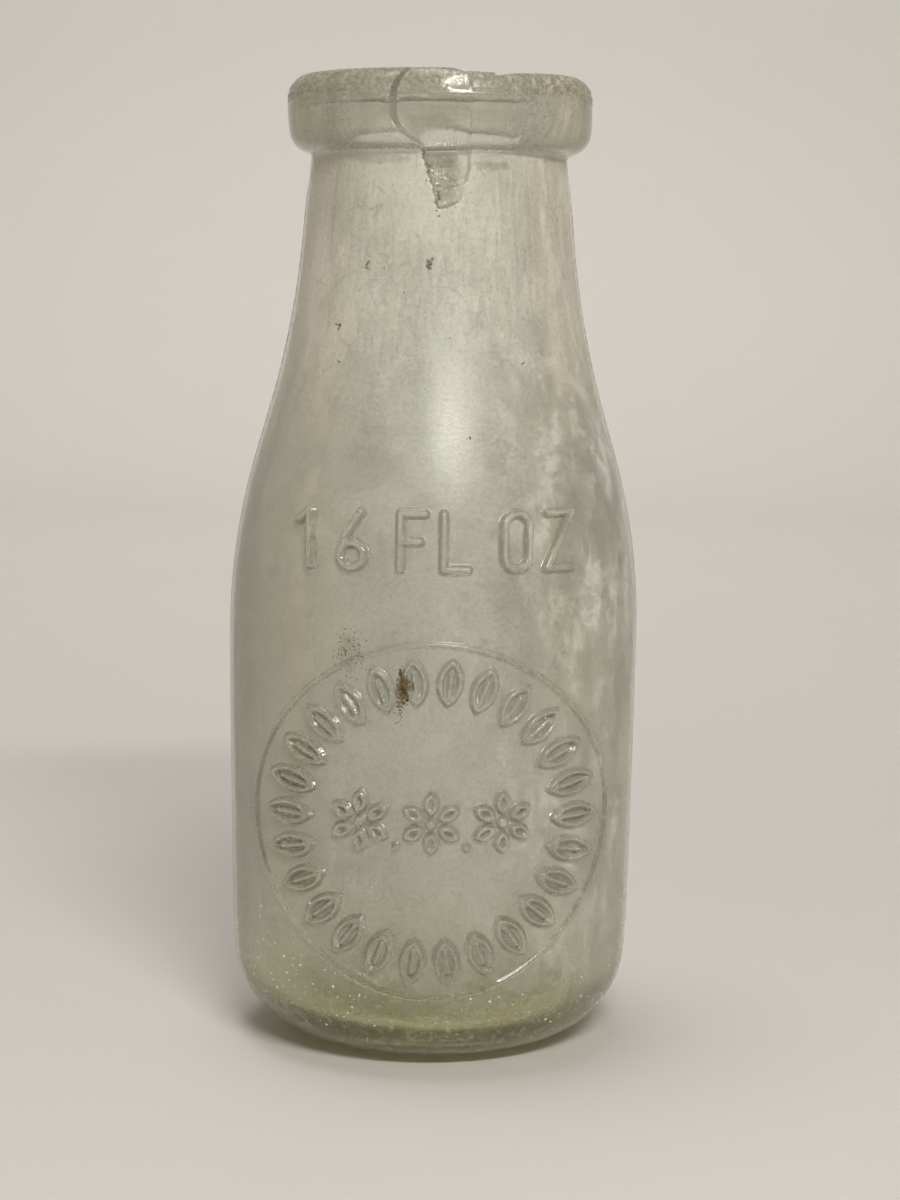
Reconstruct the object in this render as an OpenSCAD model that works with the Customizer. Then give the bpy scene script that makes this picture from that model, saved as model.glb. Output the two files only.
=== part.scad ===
// Glass milk bottle of one US pint, with a rolled lip and a ledge that seats a pressed disc cap.
// Origin: centre of the resting ring. +Z is up. The round plate mark faces -Y.

/* [Overall] */
// Height from the resting ring to the top of the rim
total_h = 181; // [176:0.5:186]
// Thickness of the glass wall in the neck and body
wall = 4; // [3.5:0.1:4.2]

/* [Body] */
// Outer diameter just above the heel
body_low_d = 75.4; // [74:0.1:77]
// Outer diameter at the foot of the shoulder
body_high_d = 77.2; // [76:0.1:79]
// Height at which the shoulder starts to turn in
shoulder_z = 76.4; // [72:0.1:80]
// Radius of the shoulder's outward curve
shoulder_arc_r = 116.6; // [110:0.1:122]
// Steepest inward slope between shoulder and neck, in degrees from vertical
shoulder_slope = 16.34; // [15.5:0.01:17]
// Length of the straight slope between the shoulder curve and the neck curve
slope_len = 9.3; // [5:0.1:12]
// Radius of the inward curve from the slope into the neck
neck_arc_r = 167.3; // [160:0.1:175]
// Inward slope that is left in the neck, in degrees from vertical
neck_slope = 5.35; // [4.5:0.01:6]

/* [Heel and base] */
// Radius of the round heel
heel_r = 18; // [14:0.1:19]
// Radial width of the flat ring that the bottle rests on
rest_ring_w = 3; // [2:0.1:4]
// Rise of the pushed-up underside at its centre
push_up = 2.5; // [1.5:0.1:3.5]
// Thickness of the glass over the resting ring
floor_t = 6; // [5:0.1:8]
// Radius of the inner corner between floor and wall
inner_heel_r = 12; // [9:0.1:13]

/* [Lip] */
// Outer diameter of the rolled lip
lip_d = 56.8; // [56:0.1:58]
// Height of the rolled lip
lip_h = 14.3; // [13.5:0.1:15]
// Radius of the lip's upper outer edge
lip_top_r = 4.2; // [3:0.1:4.5]
// Radius of the lip's lower outer edge
lip_low_r = 4.4; // [3:0.1:4.6]
// Diameter of the seat for a 1-5/8 inch disc cap
cap_seat_d = 41.28; // [41.28]
// Depth of the cap ledge below the rim
cap_seat_depth = 5.5; // [5:0.1:6]
// Radius of the rim's inner edge
rim_inner_r = 1.5; // [1:0.1:1.8]
// Inner diameter of the throat below the cap ledge
throat_d = 38.6; // [38:0.1:39]
// Length of the straight throat
throat_len = 11; // [10.5:0.1:13]
// Height of the flare that joins the throat to the wall below it
throat_flare = 11; // [4:0.5:12]

/* [Lip chip] */
// Turn of the chip from the front, in degrees towards +X
chip_turn = 0.5; // [-10:0.5:10]
// Greatest depth of the chip into the lip
chip_depth = 2.4; // [1.5:0.1:3]
// Radius of the hollow face that the chip left
chip_face_r = 15; // [12:0.5:18]
// Number of small steps where the crack runs down the neck
chip_steps = 3; // [2:1:4]
// Drop from one step to the next
chip_step_drop = 3.6; // [3:0.1:4]

/* [Raised marks] */
// Height that the raised marks stand proud of the wall
relief = 0.8; // [0.5:0.1:1]
// Width of a raised stroke
stroke = 1.3; // [1:0.1:1.6]
// Height of the centre of the round plate mark
plate_z = 47.5; // [46:0.1:49]
// Radius of the round plate mark, seen from the front
plate_r = 32.2; // [31:0.1:33]
// Number of leaves in the border
leaf_count = 26; // [20:2:28]
// Length of one leaf
leaf_len = 8.6; // [7:0.1:9]
// Width of one leaf
leaf_w = 4.4; // [4:0.1:5]
// Radius of the ring that the leaves' centres lie on
leaf_ring_r = 25.6; // [25:0.1:26]
// Spacing of the three flowers at the centre
flower_gap = 12.6; // [12.5:0.1:13.5]
// Outer radius of one flower
flower_r = 5.6; // [5:0.1:5.8]
// Height of the centre of the capacity mark
capacity_z = 97.7; // [96:0.1:99]
// Height of the capacity mark's figures
figure_h = 11; // [9:0.1:11.5]
// Width of one figure
figure_w = 5.6; // [5:0.1:6]

/* [Mould seams] */
// Height of the seam ridge
seam_h = 0.2; // [0.15:0.05:0.3]
// Width of the seam ridge, in degrees of turn
seam_turn = 0.9; // [0.6:0.1:1.2]

/* [Hidden] */
$fn = 128;

glass_tint = [0.82, 0.84, 0.78, 0.45];
thick_tint = [0.76, 0.77, 0.62, 0.6];
relief_tint = [0.86, 0.87, 0.82, 0.6];

low_r = body_low_d / 2;
high_r = body_high_d / 2;
lip_r = lip_d / 2;
seat_r = cap_seat_d / 2;
throat_r = throat_d / 2;
lip_z = total_h - lip_h;
ledge_z = total_h - cap_seat_depth;
throat_low_z = ledge_z - throat_len;
least_top = 1;
thin_stroke = stroke * 0.7;
base_top_z = max(heel_r, floor_t + inner_heel_r);
profile_steps = 14;

// The outer wall is a heel arc, a line, the shoulder arc, a line, the neck arc and a last line.
// Each stretch starts where the one before it ends, with the same slope.
flare = atan2(high_r - low_r, shoulder_z - heel_r);
shoulder_c = [high_r - shoulder_arc_r * cos(flare), shoulder_z + shoulder_arc_r * sin(flare)];
slope_start = shoulder_c + shoulder_arc_r * [cos(shoulder_slope), sin(shoulder_slope)];
slope_end = slope_start + slope_len * [-sin(shoulder_slope), cos(shoulder_slope)];
neck_c = slope_end + neck_arc_r * [cos(shoulder_slope), sin(shoulder_slope)];
neck_start = neck_c - neck_arc_r * [cos(neck_slope), sin(neck_slope)];

// Outer radius of the wall at height z
function outer_r(z) =
    z < heel_r ? low_r - heel_r + sqrt(max(0, heel_r ^ 2 - (heel_r - z) ^ 2)) :
    z < shoulder_z ? low_r + (high_r - low_r) * (z - heel_r) / (shoulder_z - heel_r) :
    z < slope_start.y ? shoulder_c.x + sqrt(shoulder_arc_r ^ 2 - (z - shoulder_c.y) ^ 2) :
    z < slope_end.y ? slope_start.x - (z - slope_start.y) * tan(shoulder_slope) :
    z < neck_start.y ? neck_c.x - sqrt(neck_arc_r ^ 2 - (z - neck_c.y) ^ 2) :
    neck_start.x - (z - neck_start.y) * tan(neck_slope);

// Points on an arc about a centre, from angle a0 to a1
function arc_points(c, r, a0, a1, steps) =
    [for (i = [0 : steps]) let (a = a0 + (a1 - a0) * i / steps) c + r * [cos(a), sin(a)]];

function reversed(list) = [for (i = [len(list) - 1 : -1 : 0]) list[i]];

// The heights at which each section of the wall is drawn: closer together in the curves
body_stations = [base_top_z, shoulder_z];
shoulder_stations = concat(
    [for (i = [0 : profile_steps]) shoulder_z + (slope_start.y - shoulder_z) * i / profile_steps],
    [slope_end.y]);
neck_stations = concat(
    [for (i = [0 : profile_steps]) slope_end.y + (neck_start.y - slope_end.y) * i / profile_steps],
    [max(neck_start.y + least_top, throat_low_z - throat_flare)]);
wall_stations = concat([base_top_z], shoulder_stations, neck_stations);

// Solid of revolution that fills the outer wall, moved out by a distance
module outer_solid(out) {
    heel = [for (a = [0 : 90 / profile_steps : 90])
        [low_r - heel_r + (heel_r + out) * sin(a), heel_r - (heel_r + out) * cos(a)]];
    upper = [for (z = wall_stations) [outer_r(z) + out, z]];
    top = [[0, lip_z], [0, -out]];
    rotate_extrude() polygon(concat(heel, upper, [[outer_r(lip_z) + out, lip_z]], top));
}

// A round-ended bar in the plane, from p to q
module bar(p, q, w = stroke) {
    d = q - p;
    translate(p) rotate(atan2(d.y, d.x)) translate([0, -w / 2]) square([norm(d), w]);
    translate(p) circle(d = w, $fn = 24);
    translate(q) circle(d = w, $fn = 24);
}

// A ring of width w whose middle line has radius r
module ring(r, w) {
    difference() {
        circle(r = r + w / 2, $fn = 48);
        circle(r = r - w / 2, $fn = 48);
    }
}

// Raises a flat drawing, seen from the front, out of the curved wall
module raise(z) {
    intersection() {
        translate([0, 0, z]) rotate([90, 0, 0]) linear_extrude(high_r + 5) children();
        difference() {
            outer_solid(relief);
            outer_solid(0);
        }
    }
}

// The hollow that the flake left: one large face in the lip, small steps down the neck
module chip_hollow() {
    rotate([0, 0, chip_turn])
        translate([0, -(lip_r + chip_face_r - chip_depth), lip_z + lip_h / 2 + 1])
            sphere(r = chip_face_r, $fn = 96);
}

module chip_tail() {
    step_r = 4;
    step_depth = 0.9;
    rotate([0, 0, chip_turn + 4])
        for (i = [0 : chip_steps - 1]) {
            z = lip_z - 1 - i * chip_step_drop;
            bite = step_depth * (1 - 0.2 * i);
            translate([0.8 * i, -(outer_r(z) + step_r - bite), z]) sphere(r = step_r, $fn = 48);
        }
}

// Rolled lip with the cap ledge: the part of the bottle that the neck ring of the mould formed
module lip_finish() {
    outline = concat(
        arc_points([lip_r - lip_low_r, lip_z + lip_low_r], lip_low_r, -90, 0, profile_steps),
        arc_points([lip_r - lip_top_r, total_h - lip_top_r], lip_top_r, 0, 90, profile_steps),
        arc_points([seat_r + rim_inner_r, total_h - rim_inner_r], rim_inner_r, 90, 180, 6),
        [[seat_r, ledge_z], [throat_r, ledge_z], [throat_r, lip_z]]);
    color(thick_tint) difference() {
        rotate_extrude() polygon(outline);
        chip_hollow();
    }
}

// A stretch of the wall with the glass's thickness
module wall_section(stations) {
    rotate_extrude() polygon(concat(
        [for (z = stations) [outer_r(z), z]],
        reversed([for (z = stations) [outer_r(z) - wall, z]])));
}

// Neck from the slope up to the lip, with the straight throat inside its top
module neck() {
    outside = concat([for (z = neck_stations) [outer_r(z), z]], [[outer_r(lip_z), lip_z]]);
    inside = concat([[throat_r, lip_z], [throat_r, throat_low_z]],
        reversed([for (z = neck_stations) [outer_r(z) - wall, z]]));
    color(glass_tint) difference() {
        rotate_extrude() polygon(concat(outside, inside));
        chip_tail();
        chip_hollow();
    }
}

// Shoulder: the outward curve and the straight slope above it
module shoulder() {
    color(glass_tint) wall_section(shoulder_stations);
}

// Nearly straight wall between the heel and the shoulder
module body_wall() {
    color(glass_tint) wall_section(body_stations);
}

// Heel, resting ring and pushed-up floor: the part that the bottom plate of the mould formed
module base() {
    rest_out_r = low_r - heel_r;
    rest_in_r = rest_out_r - rest_ring_w;
    dome_r = (rest_in_r ^ 2 + push_up ^ 2) / (2 * push_up);
    dome_half = asin(rest_in_r / dome_r);
    heel_inner = outer_r(base_top_z) - wall;
    outline = concat(
        arc_points([0, push_up - dome_r], dome_r, 90, 90 - dome_half, 8),
        arc_points([rest_out_r, heel_r], heel_r, -90, 0, profile_steps),
        [[outer_r(base_top_z), base_top_z], [heel_inner, base_top_z]],
        arc_points([heel_inner - inner_heel_r, floor_t + inner_heel_r], inner_heel_r, 0, -90, 10),
        [[0, floor_t]]);
    color(thick_tint) rotate_extrude() polygon(outline);
}

// Raised circle left by the edge of the round mould plate
module plate_rim() {
    color(relief_tint) raise(plate_z) ring(plate_r, thin_stroke);
}

// A pointed loop with its length along Y, drawn with a thin stroke
module pointed_loop(length, width) {
    side_r = (length ^ 2 + width ^ 2) / (4 * width);
    reach = side_r - width / 2;
    difference() {
        intersection_for (s = [-1, 1]) translate([s * reach, 0]) circle(r = side_r);
        intersection_for (s = [-1, 1]) translate([s * reach, 0]) circle(r = side_r - thin_stroke);
    }
}

// One leaf: a pointed loop with a midrib
module leaf() {
    pointed_loop(leaf_len, leaf_w);
    bar([0, -leaf_len * 0.3], [0, leaf_len * 0.2], stroke * 0.6);
}

// Wreath of leaves between the plate's edge and the emblem
module leaf_border() {
    color(relief_tint) raise(plate_z)
        for (i = [0 : leaf_count - 1])
            rotate(360 * (i + 0.5) / leaf_count) translate([0, leaf_ring_r]) leaf();
}

// One flower: a small round eye with pointed petals about it
module flower() {
    petals = 6;
    eye_r = flower_r * 0.17;
    petal_len = flower_r * 0.72;
    petal_w = flower_r * 0.46;
    circle(r = eye_r, $fn = 32);
    for (i = [0 : petals - 1])
        rotate(360 * i / petals) translate([0, flower_r - petal_len / 2]) pointed_loop(petal_len, petal_w);
}

// Three flowers in a row with dots between them
module flower_emblem() {
    dot_drop = 4.6;
    color(relief_tint) raise(plate_z) {
        for (i = [-1 : 1]) translate([i * flower_gap, 0]) flower();
        for (s = [-1, 1]) translate([s * flower_gap / 2, -dot_drop]) circle(d = stroke, $fn = 24);
    }
}

// The plain capacity "16 FL OZ", each figure and letter one outline about its own centre
module figure_1() {
    foot = stroke / 2;
    top = figure_h / 2;
    flag = figure_w * 0.38;
    flag_z = top - figure_w * 0.32;
    polygon([[-foot, -top], [foot, -top], [foot, top], [-foot, top],
             [-flag, flag_z], [-flag, flag_z - stroke], [-foot, top - stroke]]);
}

module figure_6() {
    bowl_r = figure_w / 2;
    bowl_y = bowl_r - figure_h / 2;
    inset = stroke * 0.15;
    tip = figure_w * 0.36;
    translate([0, bowl_y]) difference() {
        circle(r = bowl_r, $fn = 48);
        circle(r = bowl_r - stroke, $fn = 48);
    }
    polygon([[inset - bowl_r, bowl_y], [stroke - inset - bowl_r, bowl_y],
             [tip, figure_h / 2], [tip - stroke * 1.2, figure_h / 2]]);
}

module letter_f() {
    side = figure_w / 2;
    top = figure_h / 2;
    half = stroke / 2;
    polygon([[-side, -top], [stroke - side, -top], [stroke - side, -half], [side - stroke, -half],
             [side - stroke, half], [stroke - side, half], [stroke - side, top - stroke],
             [side, top - stroke], [side, top], [-side, top]]);
}

module letter_l() {
    side = figure_w / 2;
    top = figure_h / 2;
    polygon([[-side, -top], [side, -top], [side, stroke - top], [stroke - side, stroke - top],
             [stroke - side, top], [-side, top]]);
}

// Outline of an upright oblong with round ends
function oblong(w, h) = concat(
    arc_points([0, (h - w) / 2], w / 2, 0, 180, 12),
    arc_points([0, (w - h) / 2], w / 2, 180, 360, 12));

module letter_o() {
    difference() {
        polygon(oblong(figure_w, figure_h));
        polygon(oblong(figure_w - 2 * stroke, figure_h - 2 * stroke));
    }
}

module letter_z() {
    side = figure_w / 2;
    top = figure_h / 2;
    slant = stroke * 1.3;
    polygon([[-side, -top], [side, -top], [side, stroke - top], [slant - side, stroke - top],
             [side, top - stroke], [side, top], [-side, top], [-side, top - stroke],
             [side - slant, top - stroke], [-side, stroke - top]]);
}

module capacity_mark() {
    step = figure_w * 1.35;
    word_gap = figure_w * 1.9;
    color(relief_tint) raise(capacity_z) {
        translate([-word_gap - step * 1.5, 0]) figure_1();
        translate([-word_gap - step * 0.5, 0]) figure_6();
        translate([-step / 2, 0]) letter_f();
        translate([step / 2, 0]) letter_l();
        translate([word_gap + step * 0.5, 0]) letter_o();
        translate([word_gap + step * 1.5, 0]) letter_z();
    }
}

// Two fine ridges, left and right, where the halves of the body mould met
module mould_seams() {
    stations = concat(wall_stations, [lip_z - 1]);
    outline = concat([for (z = stations) [outer_r(z) + seam_h, z]],
        reversed([for (z = stations) [outer_r(z), z]]));
    color(glass_tint) for (side = [0, 180])
        rotate([0, 0, side - seam_turn / 2]) rotate_extrude(angle = seam_turn) polygon(outline);
}

lip_finish();
neck();
shoulder();
body_wall();
base();
plate_rim();
leaf_border();
flower_emblem();
capacity_mark();
mould_seams();
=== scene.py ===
"""Glass milk bottle: the looks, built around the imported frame. Sizes are in millimetres until placed()."""

import math

import bmesh
import bpy
import numpy as np
from mathutils import Matrix, Vector


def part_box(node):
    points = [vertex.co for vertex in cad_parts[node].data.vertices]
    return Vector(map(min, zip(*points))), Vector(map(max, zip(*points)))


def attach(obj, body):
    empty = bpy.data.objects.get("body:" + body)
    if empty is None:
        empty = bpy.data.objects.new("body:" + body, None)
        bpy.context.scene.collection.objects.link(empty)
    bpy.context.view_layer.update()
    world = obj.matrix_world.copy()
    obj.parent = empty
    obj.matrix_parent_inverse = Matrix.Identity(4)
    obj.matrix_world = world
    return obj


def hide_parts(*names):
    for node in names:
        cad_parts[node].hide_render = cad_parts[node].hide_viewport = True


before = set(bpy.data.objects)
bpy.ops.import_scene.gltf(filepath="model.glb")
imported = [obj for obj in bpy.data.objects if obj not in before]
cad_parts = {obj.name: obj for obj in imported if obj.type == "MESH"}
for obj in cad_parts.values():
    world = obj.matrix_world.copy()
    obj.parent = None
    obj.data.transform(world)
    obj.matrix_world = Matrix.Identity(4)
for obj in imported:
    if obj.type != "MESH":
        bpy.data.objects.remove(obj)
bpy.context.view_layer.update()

MM = 0.001
TAU = 2 * math.pi
rng = np.random.default_rng(41)

# ---------------------------------------------------------------------------------------------
# Driving dimensions of the bottle, in millimetres
# ---------------------------------------------------------------------------------------------
TOTAL_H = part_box("lip_finish")[1].z / MM
LIP_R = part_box("lip_finish")[1].x / MM
LIP_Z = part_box("lip_finish")[0].z / MM
LOW_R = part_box("base")[1].x / MM
HEEL_R = 18.0
HIGH_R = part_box("body_wall")[1].x / MM
SHOULDER_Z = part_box("shoulder")[0].z / MM
SHOULDER_ARC_R = 116.6
SHOULDER_SLOPE = math.radians(16.34)
SLOPE_LEN = 9.3
NECK_ARC_R = 167.3
NECK_SLOPE = math.radians(5.35)
WALL = 4.0

LIP_LOW_R = 4.4
LIP_TOP_R = 4.2
LIP_TAPER = 0.35
NECK_FILLET_R = 1.2
SEAT_R = 20.64
LEDGE_Z = TOTAL_H - 5.5
RIM_INNER_R = 1.5
THROAT_R = 19.3
THROAT_LOW_Z = LEDGE_Z - 11.0
THROAT_END_R = 6.0
THROAT_FLARE = 11.0

REST_RING_W = 3.0
PUSH_UP = 2.5
FLOOR_T = 6.0
INNER_HEEL_R = 12.0

RELIEF = 1.0
STROKE = 1.3
FINE = 0.38
PLATE_Z = 47.5
PLATE_R = 32.2
LEAF_COUNT = 26
LEAF_LEN = 8.6
LEAF_W = 4.4
LEAF_RING_R = 25.6
FLOWER_GAP = 12.6
FLOWER_R = 5.6
FLOWER_PETALS = 6
PETAL_LEN = 0.72 * FLOWER_R
PETAL_W = 0.46 * FLOWER_R
EYE_R = 0.17 * FLOWER_R
CAPACITY_Z = 97.7
FIGURE_H = 11.0
FIGURE_W = 5.6
SEAM_H = 0.2
SEAM_W = 0.35
MARKS_TOP_Z = 140.0
FAR = 99.0
OUTWARD = 0.3

# The flake broken from the lip: arc lengths run from the front, to the right
CHIP_DEPTH = 2.3
CHIP_LEFT = -9.2
CHIP_CURL = 2.4
CHIP_CURL_Z = 175.5
CHIP_CURL_H = 5.5
CHIP_SWEEP = 6.4
CHIP_SWEEP_Z = 172.5
CHIP_SWEEP_H = 5.8
CHIP_RIGHT = 34.0
CRACK_AT = 5.7
RIPPLE_HEIGHT = 0.10
RIPPLE_LEN = 2.3
# Hollows of the flake's tail: left, right, lowest height, bow, slant and depth
TAIL_HOLLOWS = (
    (-1.8, 5.7, 161.1, 1.9, 0.0, 2.3),
    (-1.2, 5.2, 159.7, 0.9, 0.1, 1.5),
    (-0.1, 4.3, 155.9, 0.3, 0.4, 0.8),
)
TAIL_LEAN = 0.23
TAIL_LOW_Z = 150.0
# The small broken facet on the rim's front
FACET_R = 27.2
FACET_Z = 177.6
FACET_TILT = math.radians(15)


# ---------------------------------------------------------------------------------------------
# The outline: heel, wall, lip, cap seat, throat, inner wall and floor
# ---------------------------------------------------------------------------------------------
FLARE = math.atan2(HIGH_R - LOW_R, SHOULDER_Z - HEEL_R)


def along(point, length, angle):
    """The point moved by a length at an angle, in the plane of radius and height."""
    return np.array([point[0] + length * math.cos(angle), point[1] + length * math.sin(angle)])


SHOULDER_C = along((HIGH_R, SHOULDER_Z), SHOULDER_ARC_R, math.pi - FLARE)
SLOPE_START = along(SHOULDER_C, SHOULDER_ARC_R, SHOULDER_SLOPE)
SLOPE_END = along(SLOPE_START, SLOPE_LEN, math.pi / 2 + SHOULDER_SLOPE)
NECK_C = along(SLOPE_END, NECK_ARC_R, SHOULDER_SLOPE)
NECK_START = along(NECK_C, -NECK_ARC_R, NECK_SLOPE)


def outer_r(z):
    """Radius of the outer wall at height z, for arrays."""
    z = np.asarray(z, float)
    heel = LOW_R - HEEL_R + np.sqrt(np.maximum(HEEL_R**2 - (HEEL_R - np.minimum(z, HEEL_R)) ** 2, 0))
    body = LOW_R + (HIGH_R - LOW_R) * (z - HEEL_R) / (SHOULDER_Z - HEEL_R)
    shoulder = SHOULDER_C[0] + np.sqrt(np.maximum(SHOULDER_ARC_R**2 - (z - SHOULDER_C[1]) ** 2, 0))
    slope = SLOPE_START[0] - (z - SLOPE_START[1]) * math.tan(SHOULDER_SLOPE)
    neck = NECK_C[0] - np.sqrt(np.maximum(NECK_ARC_R**2 - (z - NECK_C[1]) ** 2, 0))
    top = NECK_START[0] - (z - NECK_START[1]) * math.tan(NECK_SLOPE)
    stretches = [z < HEEL_R, z < SHOULDER_Z, z < SLOPE_START[1], z < SLOPE_END[1], z < NECK_START[1]]
    return np.select(stretches, [heel, body, shoulder, slope, neck], top)


def rounded(corners):
    """A dense path through corners (radius, height, fillet), each corner rounded by its fillet."""
    path = []
    for i, (r, z, fillet) in enumerate(corners):
        here = np.array([r, z])
        if fillet == 0 or i in (0, len(corners) - 1):
            path.append(here)
            continue
        back = np.array(corners[i - 1][:2]) - here
        ahead = np.array(corners[i + 1][:2]) - here
        back, ahead = back / np.linalg.norm(back), ahead / np.linalg.norm(ahead)
        half = math.acos(np.clip(back @ ahead, -1, 1)) / 2
        middle = (back + ahead) / np.linalg.norm(back + ahead)
        centre = here + middle * fillet / math.sin(half)
        start = here + back * fillet / math.tan(half) - centre
        turn = math.pi - 2 * half
        sign = np.sign(start[1] * back[0] - start[0] * back[1])
        for t in np.linspace(0, turn, 16):
            c, s = math.cos(t * sign), math.sin(t * sign)
            path.append(centre + [c * start[0] - s * start[1], s * start[0] + c * start[1]])
    return path


def lip_foot():
    """The small hollow fillet under the lip and the lip's round lower edge."""
    fillet_r = float(outer_r(LIP_Z - 1)) + NECK_FILLET_R
    bead_r, bead_z = LIP_R - LIP_TAPER - LIP_LOW_R, LIP_Z + LIP_LOW_R
    drop = math.sqrt((LIP_LOW_R + NECK_FILLET_R) ** 2 - (fillet_r - bead_r) ** 2)
    turn = math.atan2(drop, bead_r - fillet_r)
    hollow = [(fillet_r + NECK_FILLET_R * math.cos(a), bead_z - drop + NECK_FILLET_R * math.sin(a), 0)
              for a in np.linspace(math.pi, turn, 8)]
    bead = [(bead_r + LIP_LOW_R * math.cos(a), bead_z + LIP_LOW_R * math.sin(a), 0)
            for a in np.linspace(turn - math.pi, 0, 14)[1:]]
    return hollow + bead


def outline():
    """The closed outline from the centre of the underside, up the outside and down the inside."""
    rest_in = LOW_R - HEEL_R - REST_RING_W
    dome_r = (rest_in**2 + PUSH_UP**2) / (2 * PUSH_UP)
    dome = [(r, PUSH_UP - dome_r + math.sqrt(dome_r**2 - r * r), 0)
            for r in np.linspace(0, rest_in - 1.0, 12)]
    outside = [(float(outer_r(z)), z, 0) for z in np.arange(HEEL_R + 1, LIP_Z - 2, 1.0)]
    lip = lip_foot() + [(LIP_R, TOTAL_H - LIP_TOP_R - 2, 3.0), (LIP_R - 0.15, TOTAL_H, LIP_TOP_R),
                        (SEAT_R, TOTAL_H, RIM_INNER_R)]
    seat = [(SEAT_R, LEDGE_Z, 0.45), (THROAT_R, LEDGE_Z - 0.1, 0.5),
            (THROAT_R, THROAT_LOW_Z, THROAT_END_R),
            (float(outer_r(THROAT_LOW_Z - THROAT_FLARE)) - WALL, THROAT_LOW_Z - THROAT_FLARE, THROAT_END_R)]
    heel_top = FLOOR_T + INNER_HEEL_R
    inside = [(float(outer_r(z)) - WALL, z, 0)
              for z in np.arange(THROAT_LOW_Z - THROAT_FLARE - 2, heel_top + 1, -1.0)]
    floor = [(LOW_R - WALL, FLOOR_T, INNER_HEEL_R), (0, FLOOR_T + 0.8, 0)]
    corners = dome + [(rest_in, 0, 1.0), (LOW_R, 0, HEEL_R)] + outside + lip + seat + inside + floor
    return np.array(rounded(corners))


NECK_TOP_R = float(outer_r(LIP_Z))
PATH = outline()
PATH_S = np.concatenate([[0], np.cumsum(np.linalg.norm(np.diff(PATH, axis=0), axis=1))])
RIM_S = PATH_S[np.argmax(PATH[:, 1] >= TOTAL_H - 1e-6)]
INSIDE_S = PATH_S[np.argmax((PATH_S > RIM_S) & (PATH[:, 0] <= SEAT_R + 0.01))]


def at(s):
    """Radius, height and outward normal on the outline at path length s."""
    r, z = np.interp(s, PATH_S, PATH[:, 0]), np.interp(s, PATH_S, PATH[:, 1])
    step = 0.15
    dr = np.interp(s + step, PATH_S, PATH[:, 0]) - np.interp(s - step, PATH_S, PATH[:, 0])
    dz = np.interp(s + step, PATH_S, PATH[:, 1]) - np.interp(s - step, PATH_S, PATH[:, 1])
    size = np.maximum(np.hypot(dr, dz), 1e-9)
    return r, z, dz / size, -dr / size


# ---------------------------------------------------------------------------------------------
# Raised marks: how far a point, seen from the front, lies from the nearest stroke
# ---------------------------------------------------------------------------------------------
def to_bar(x, z, a, b):
    """Distance to the straight stroke from a to b."""
    d = np.subtract(b, a)
    t = np.clip(((x - a[0]) * d[0] + (z - a[1]) * d[1]) / (d @ d), 0, 1)
    return np.hypot(x - a[0] - t * d[0], z - a[1] - t * d[1])


def to_path(x, z, points):
    """Distance to a stroke through points."""
    gaps = [to_bar(x, z, a, b) for a, b in zip(points[:-1], points[1:])]
    return np.minimum.reduce(gaps)


def arc(cx, cz, rx, rz, a0, a1, steps=14):
    """Points along part of an ellipse, with angles in degrees."""
    return [(cx + rx * math.cos(math.radians(a)), cz + rz * math.sin(math.radians(a)))
            for a in np.linspace(a0, a1, steps)]


def figures():
    """The strokes of the capacity mark, each a list of points about its own centre."""
    side, top = (FIGURE_W - STROKE) / 2, (FIGURE_H - STROKE) / 2
    six_tail = [(-side, side - top), (-side * 0.5, 0.8), (side * 0.7, top)]
    one = [[(-side * 0.9, top - 1.9), (0, top), (0, -top)]]
    six = [arc(0, side - top, side, side, 0, 360, 20), six_tail]
    letter_f = [[(-side, -top), (-side, top), (side, top)], [(-side, 0), (side * 0.6, 0)]]
    letter_l = [[(-side, top), (-side, -top), (side, -top)]]
    half_turns = arc(0, top - side, side, side, 0, 180) + arc(0, side - top, side, side, 180, 360)
    oval = [half_turns + [(side, top - side)]]
    zed = [[(-side, top), (side, top), (-side, -top), (side, -top)]]
    step, gap = FIGURE_W * 1.35, FIGURE_W * 1.9
    places = [-gap - step * 1.5, -gap - step * 0.5, -step / 2, step / 2, gap + step * 0.5, gap + step * 1.5]
    return list(zip(places, [one, six, letter_f, letter_l, oval, zed]))


def to_loop(x, z, length, width):
    """Distance to the stroke of a pointed loop, with its length along z."""
    side_r = (length**2 + width**2) / (4 * width)
    off = side_r - width / 2
    edge = np.maximum(np.hypot(x - off, z), np.hypot(x + off, z)) - side_r
    return np.abs(edge + STROKE * 0.35)


def to_leaf(x, z):
    """Distance to a leaf's outline and midrib, with the leaf's length along z."""
    rib = to_bar(x, z, (0, -LEAF_LEN * 0.3), (0, LEAF_LEN * 0.2))
    return np.minimum(to_loop(x, z, LEAF_LEN, LEAF_W), rib)


def to_petals(x, z):
    """Distance to the strokes of a flower's petals."""
    gaps = []
    for i in range(FLOWER_PETALS):
        a = TAU * i / FLOWER_PETALS
        u = x * math.cos(a) - z * math.sin(a)
        v = x * math.sin(a) + z * math.cos(a) - FLOWER_R + PETAL_LEN / 2
        gaps.append(np.where(np.abs(v) < PETAL_LEN, to_loop(u, v, PETAL_LEN, PETAL_W), FAR))
    return np.minimum.reduce(gaps)


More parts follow.
